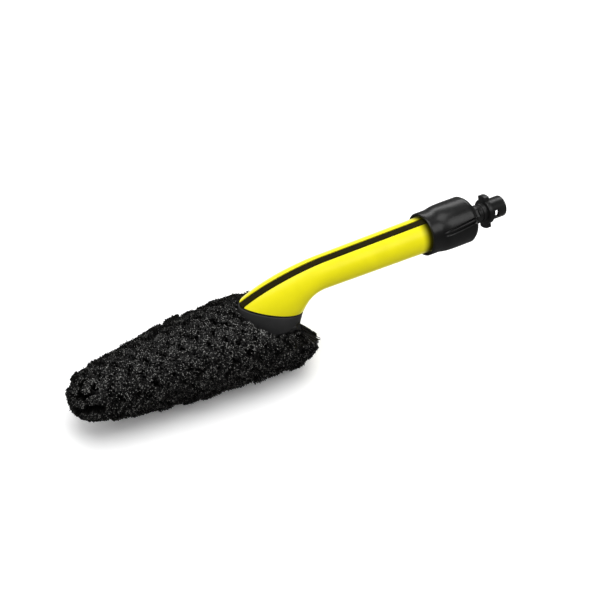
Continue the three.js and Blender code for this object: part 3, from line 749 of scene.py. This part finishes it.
def make_lugs():
    """The two bayonet lugs: bars across the flange, rounded at their outer ends."""
    lugs = []
    for turn in (LUG_TURN, LUG_TURN + 180):
        reach = math.asin(LUG_HALF_WIDTH / LUG_REACH)
        outline = [(-LUG_HALF_WIDTH, LUG_ROOT), (LUG_HALF_WIDTH, LUG_ROOT)]
        outline += [(LUG_REACH * math.sin(a), LUG_REACH * math.cos(a))
                    for a in np.linspace(reach, -reach, LUG_STEPS)]
        angle = math.radians(turn)
        rings = [[(x, y * math.cos(angle) - z * math.sin(angle), y * math.sin(angle) + z * math.cos(angle))
                  for y, z in outline] for x in (LUG_SPAN[0] + LUG_INSET, LUG_SPAN[1] - LUG_INSET)]
        lugs.append(tool_mesh(*skin(rings)))
    return lugs


# ---------------------------------------------------------------- bristles

# tufts
ROW_PITCH = 7.2
AROUND_PITCH = 17.0
TIP_AROUND_PITCH = 11.5
TUFT_ROOT = 2.6  # radius of a tuft where it leaves the brush body
TUFT_END = 6.0  # and at its end
TIP_TUFT_END = 3.9
TIP_TUFTS_TO = HEAD_TIP + 15
TUFT_UNEVEN = 0.95  # spread of the tufts' lengths
TUFT_TURN_SCATTER = 0.02
TUFT_X_SCATTER = 0.5
ROOT_BELOW = 1.2  # the tufts start this far below the brush body's skin
RADIAL_FROM = 0.8  # share of the body's round ends that tufts fan out from
TIP_ZONE = 11.0  # tufts that end less than this behind the body's tip are the tip's
REAR_ZONE = 5.0  # and those that end less than this before its rear are the rear's
STEEP = 1.2  # above 1, more of the slanted tufts go to the top and bottom
NECK_SHIFT = 0.3
NECK_SHORTER = 1.5
OUTLINE_STEP = 0.5

# strands
STRANDS = 235  # in one tuft
MOST_STRANDS = 14000  # in one piece
STRAND_UNEVEN = 0.45  # spread of the strands' lengths within a tuft
STRAND_SPACING = (0.2, 0.8)  # a strand's place between one step of its tuft's spiral and the next
STRAND_RADIUS = 0.27
STRAND_TAPER = (0.8, 1.0, 1.3)  # of that radius, at the root, the middle and the end
STRAND_SIDES = 6
STRAND_POINTS = 9
STRAY_DROP = 5.0  # how fast strands get shorter beyond their tuft's rim
FLARE_SPREAD = 0.22
TIP_FLARE_SPREAD = 0.08
END_SCATTER = 0.3
BEND_SCATTER = 0.25
MIDDLE_AT = 0.55  # where along a strand its middle point lies
TRIM_FROM = 0.2  # shortest share of its length that a strand is cut back to
TRIM_STEPS = 14
TRIM_UNEVEN = 0.012
KEPT_FROM = 0.25  # strands cut shorter than this are left out
GOLDEN_TURN = 2.39996
TUFT_ASIDE = (0.3, 0.9, 0.2)  # any direction that isn't a tuft's own, to find its sides from
STRAND_ASIDE = (0.31, 0.88, 0.35)  # and the same for a strand
ABOVE_COLLAR = [np.array([x, 0.0, z]) for x, z in ((-257.0, -9.0), (-231.0, -31.5), (-187.0, -36.5))]


def outline_run(size_at, ends, samples=4000):
    """x along a paddle's outline from tip to rear, and how far round the outline each x is."""
    turn = np.linspace(0, math.pi, samples)
    x = (ends[0] + ends[1]) / 2 - (ends[1] - ends[0]) / 2 * np.cos(turn)
    radius = np.mean(size_at(x), axis=0)
    return x, np.concatenate([[0], np.cumsum(np.hypot(np.diff(x), np.diff(radius)))])


def on_paddle(x, size_at, turn, shrink=0.0):
    """A point of a paddle's surface, at an angle from its top towards -Y."""
    half_wide, half_high = size_at(x)
    return np.array([x, -max(0.0, half_wide - shrink) * math.sin(turn),
                     HEAD_Z + max(0.0, half_high - shrink) * math.cos(turn)])


def tuft_places():
    """Root and end of every tuft, in rings from tip to rear that are radial between the round ends."""
    head_x, head_run = outline_run(head_size, (HEAD_TIP, HEAD_REAR))
    core_x, core_run = outline_run(core_size, (CORE_TIP, CORE_REAR))
    radial = [CORE_TIP + CORE_ROUND * RADIAL_FROM, CORE_REAR - CORE_ROUND * RADIAL_FROM]
    head_marks = [0, *np.interp(radial, head_x, head_run), head_run[-1]]
    core_marks = [0, *np.interp(radial, core_x, core_run), core_run[-1]]
    rows = round(head_run[-1] / ROW_PITCH)
    places = []
    for row in range(rows + 1):
        run = row / rows * head_run[-1]
        x = np.interp(run, head_run, head_x)
        root_x = np.interp(np.interp(run, head_marks, core_marks), core_run, core_x)
        half_wide, half_high = head_size(x)
        around = 2 * math.pi * math.sqrt((half_wide ** 2 + half_high ** 2) / 2)
        pitch = TIP_AROUND_PITCH if x < TIP_TUFTS_TO else AROUND_PITCH
        count = max(1, round(around / pitch))
        for i in range(count):
            turn = (i + 0.5 * (row % 2)) / count * 2 * math.pi + rng.normal(0, TUFT_TURN_SCATTER)
            end_x = np.clip(x + rng.normal(0, TUFT_X_SCATTER), HEAD_TIP, HEAD_REAR)
            end = on_paddle(end_x, head_size, turn)
            places.append((on_paddle(root_x, core_size, turn, ROOT_BELOW), end))
    return places


def zone_of(root, end):
    """The CAD node that a tuft belongs to."""
    if end[0] < CORE_TIP + TIP_ZONE:
        return "bristles_tip"
    if end[0] > CORE_REAR - REAR_ZONE:
        return "bristles_rear"
    steep = abs(end[2] - root[2]) * STEEP > abs(end[1] - root[1])
    if steep:
        return "bristles_top" if end[2] > root[2] else "bristles_bottom"
    return "bristles_left" if end[1] > 0 else "bristles_right"


def in_neck(points, margin=1.0):
    """True for points inside the collar or the handle's foot, seen from above."""
    half_long = seam_half_length - NECK_SHORTER + margin
    along = np.clip((seam_centre[0] + NECK_SHIFT - points[..., 0]) / half_long, -1, 1)
    across = (SEAM_HALF_WIDTH + margin) * np.sqrt(1 - along ** 2) * (1 - SEAM_EGG * along)
    return (np.abs(points[..., 1]) < across) & (points[..., 2] > HEAD_Z)


def over_line(points, start, end):
    """How far points are above a line in the XZ plane."""
    along = (end - start) / np.linalg.norm(end - start)
    return (points - start) @ np.array([-along[2], 0.0, along[0]])


def outside(points):
    """True for points past the faces where the bristles are cut low, or below the floor."""
    front, bend, rear = ABOVE_COLLAR
    along = (bend - front) / np.linalg.norm(bend - front)
    cut_low = ((points - front) @ along > 0) & (over_line(points, front, bend) > 0) & (
        over_line(points, bend, rear) > 0)
    in_valley = (points[:, 0] > VALLEY_X) & (points[:, 2] > VALLEY + VALLEY_RISE * np.abs(points[:, 1]))
    return cut_low | in_valley | (points[:, 2] < FLOOR_Z)


def outline_normal(end):
    """Which way the brush's outline faces at a point on it."""
    sizes = [np.maximum(head_size(end[0] + step), OUTLINE_STEP) for step in (-OUTLINE_STEP, OUTLINE_STEP)]
    before, after = [(end[1] / wide) ** 2 + ((end[2] - HEAD_Z) / high) ** 2 for wide, high in sizes]
    wide, high = np.maximum(head_size(end[0]), OUTLINE_STEP)
    normal = np.array([after - before, 2 * end[1] / wide ** 2, 2 * (end[2] - HEAD_Z) / high ** 2])
    length = np.linalg.norm(normal)
    return normal / length if length > 1e-9 else np.array([np.sign(end[0] - WIDEST_X), 0.0, 0.0])


def strands(root, end):
    """Root, middle and end point of every strand in a tuft, cut off flat along the brush's outline."""
    axis = (end - root) / np.linalg.norm(end - root)
    facing = outline_normal(end) + axis
    facing /= np.linalg.norm(facing)
    cut = end + facing * rng.normal(0, TUFT_UNEVEN)
    first = np.cross(axis, TUFT_ASIDE)
    first /= np.linalg.norm(first)
    second = np.cross(axis, first)
    index = np.arange(STRANDS) + rng.uniform(*STRAND_SPACING, STRANDS)
    out = np.sqrt(index / STRANDS)
    turn = index * GOLDEN_TURN + rng.uniform(0, 2 * math.pi)
    disc = np.outer(out * np.cos(turn), first) + np.outer(out * np.sin(turn), second)
    starts = root + disc * TUFT_ROOT
    at_tip = end[0] < TIP_TUFTS_TO
    flare = 1 + rng.normal(0, TIP_FLARE_SPREAD if at_tip else FLARE_SPREAD, STRANDS)
    low = np.maximum(0, out * flare - 1) * STRAY_DROP + rng.normal(0, STRAND_UNEVEN, STRANDS)
    tips = end + disc * (TIP_TUFT_END if at_tip else TUFT_END) * flare[:, None]
    tips += rng.normal(0, END_SCATTER, (STRANDS, 3))
    bend = rng.normal(0, BEND_SCATTER, (STRANDS, 3))
    run = tips - starts
    share = ((cut - starts) @ facing - low) / (run @ facing)
    return trimmed(starts, starts + run * share[:, None], bend)


def trimmed(starts, tips, bend):
    """Strands cut short where they would pass the cut faces or the floor; none inside the neck."""
    low, high = np.full(len(starts), TRIM_FROM), np.ones(len(starts))
    for _ in range(TRIM_STEPS):
        share = (low + high) / 2
        out = outside(starts + (tips - starts) * share[:, None])
        high = np.where(out, share, high)
        low = np.where(out, low, share)
    share = np.where(outside(tips), low + rng.normal(0, TRIM_UNEVEN, len(low)), 1.0)[:, None]
    tips = starts + (tips - starts) * share
    middles = starts + (tips - starts) * MIDDLE_AT + bend
    keep = (share[:, 0] > KEPT_FROM) & ~in_neck(tips) & ~in_neck(middles)
    return starts[keep], middles[keep], tips[keep]


def strand_points(starts, middles, tips):
    """Three rings of three points for each strand, the root's first."""
    axis = tips - starts
    axis /= np.linalg.norm(axis, axis=1)[:, None]
    first = np.cross(axis, STRAND_ASIDE)
    first /= np.linalg.norm(first, axis=1)[:, None]
    second = np.cross(axis, first)
    phase = rng.uniform(0, 2 * math.pi, len(starts))
    points = np.empty((len(starts), 3, 3, 3))
    for ring, (centres, taper) in enumerate(zip((starts, middles, tips), STRAND_TAPER)):
        for corner in range(3):
            angle = phase + corner * 2 * math.pi / 3
            points[:, ring, corner] = centres + STRAND_RADIUS * taper * (
                first * np.cos(angle)[:, None] + second * np.sin(angle)[:, None])
    return points.reshape(-1, 3)


def strand_faces(count):
    """The sides of all strands, then each strand's two end faces, the outer one first."""
    sides = []
    for ring in (0, 1):
        for corner in range(3):
            a = ring * 3 + corner
            b = ring * 3 + (corner + 1) % 3
            sides.append((a, b, b + 3, a + 3))
    ends = [(6, 7, 8), (2, 1, 0)]
    first_index = (np.arange(count) * STRAND_POINTS)[:, None, None]
    quads = (first_index + np.array(sides)).reshape(-1, 4)
    caps = (first_index + np.array(ends)).reshape(-1, 3)
    return quads.tolist() + caps.tolist()


def thinned(parts):
    """The same strands with some left out evenly, so that a piece has no more than MOST_STRANDS."""
    count = len(parts[0])
    most = min(count, MOST_STRANDS)
    kept = np.arange(most) * count // most
    return [part[kept] for part in parts]


def make_bristles():
    """One piece of strands for each of the CAD's bristle zones."""
    zones = {}
    for root, end in tuft_places():
        zones.setdefault(zone_of(root, end), []).append(strands(root, end))
    for node, tufts in zones.items():
        starts, middles, tips = thinned([np.concatenate(part) for part in zip(*tufts)])
        count = len(starts)
        piece = make_piece(node.replace("bristles", "tufts"), strand_points(starts, middles, tips),
                           strand_faces(count), "brush", "bristle", [strand_side, strand_end], [node],
                           sharp=50)
        mesh = piece.data
        tone = mesh.attributes.new("strand", "FLOAT", "POINT")
        tones = np.repeat(rng.uniform(0, 1, count), STRAND_POINTS)
        tone.data.foreach_set("value", tones.astype(np.float32))
        slots = np.zeros(len(mesh.polygons), np.int32)
        slots[count * STRAND_SIDES::2] = 1
        mesh.polygons.foreach_set("material_index", slots)


# ---------------------------------------------------------------- stage, light and camera

AZIMUTH, ELEVATION, ROLL = [math.radians(angle) for angle in (-35.7, 43.5, 5.62)]
LENS, SENSOR, DISTANCE = 85.0, 36.0, 1.1315
TARGET = Vector((0.03416, 0.0, 0.04873))


def camera_axes():
    """The camera's right, up and back directions in the row."""
    back = Vector((math.sin(AZIMUTH) * math.cos(ELEVATION), -math.cos(AZIMUTH) * math.cos(ELEVATION),
                   math.sin(ELEVATION)))
    right = Vector((math.cos(AZIMUTH), math.sin(AZIMUTH), 0))
    up = back.cross(right)
    return (right * math.cos(ROLL) + up * math.sin(ROLL), up * math.cos(ROLL) - right * math.sin(ROLL),
            back)


def make_camera():
    """The camera, facing TARGET."""
    right, up, back = camera_axes()
    data = bpy.data.cameras.new("camera")
    data.lens = LENS
    data.sensor_width = SENSOR
    camera = bpy.data.objects.new("camera", data)
    bpy.context.scene.collection.objects.link(camera)
    rotation = Matrix((right, up, back)).transposed()
    camera.matrix_world = Matrix.Translation(TARGET + back * DISTANCE) @ rotation.to_4x4()
    bpy.context.scene.camera = camera


def make_floor():
    """A pale floor under the brush."""
    size = 4.0
    mesh = bpy.data.meshes.new("floor")
    mesh.from_pydata([(-size, -size, 0), (size, -size, 0), (size, size, 0), (-size, size, 0)], [],
                     [(0, 1, 2, 3)])
    floor = bpy.data.objects.new("floor", mesh)
    bpy.context.scene.collection.objects.link(floor)
    material, nodes, links, shader = new_material("pale_floor")
    tone = seen_by(nodes, links, camera=1.15, diffuse=0.4, glossy=0.1)
    links.new(tone, shader.inputs["Base Color"])
    shader.inputs["Roughness"].default_value = 0.7
    mesh.materials.append(material)


def seen_by(nodes, links, camera, diffuse, glossy):
    """A value that depends on the kind of ray, so that the white studio doesn't grey the blacks."""
    path = nodes.new("ShaderNodeLightPath")
    total = None
    kinds = (("Is Camera Ray", camera), ("Is Diffuse Ray", diffuse), ("Is Glossy Ray", glossy))
    for output, amount in kinds:
        scaled = nodes.new("ShaderNodeMath")
        scaled.operation = "MULTIPLY_ADD"
        links.new(path.outputs[output], scaled.inputs[0])
        scaled.inputs[1].default_value = amount
        scaled.inputs[2].default_value = 0.0
        if total is not None:
            links.new(total, scaled.inputs[2])
        total = scaled.outputs["Value"]
    return total


def softbox(name, direction, distance, size, power):
    """A rectangular lamp in a direction (right, up, back) of the camera, facing the object."""
    right, up, back = camera_axes()
    towards = right * direction[0] + up * direction[1] + back * direction[2]
    place = TARGET + towards.normalized() * distance
    data = bpy.data.lights.new(name, "AREA")
    data.shape = "RECTANGLE"
    data.size, data.size_y = size
    data.energy = power
    lamp = bpy.data.objects.new(name, data)
    bpy.context.scene.collection.objects.link(lamp)
    lamp.location = place
    lamp.rotation_euler = (TARGET - place).to_track_quat("-Z", "Y").to_euler()


def light_scene():
    """A white studio and four softboxes."""
    world = bpy.data.worlds.new("studio")
    world.use_nodes = True
    nodes, links = world.node_tree.nodes, world.node_tree.links
    background = nodes["Background"]
    background.inputs["Color"].default_value = (1, 1, 1, 1)
    links.new(seen_by(nodes, links, camera=1.0, diffuse=0.55, glossy=0.06), background.inputs["Strength"])
    bpy.context.scene.world = world
    softbox("top_band", direction=(0.04, 0.954, -0.293), distance=1.1, size=(1.5, 0.34), power=5)
    softbox("overhead", direction=(0.0, 0.73, 0.68), distance=1.6, size=(1.5, 1.5), power=16.5)
    softbox("middle_band", direction=(0.764, 0.36, 0.535), distance=1.5, size=(0.7, 0.7), power=3.5)
    softbox("front_fill", direction=(-0.1, -0.25, 0.96), distance=1.5, size=(0.9, 0.6), power=2)
    bpy.context.scene.view_settings.view_transform = "Standard"


# ---------------------------------------------------------------- build

finish_cad_nodes()
make_shells()
make_strip()
make_collar()
make_seam_gasket()
make_nut()
make_adapter()
make_bristles()
make_floor()
light_scene()
make_camera()
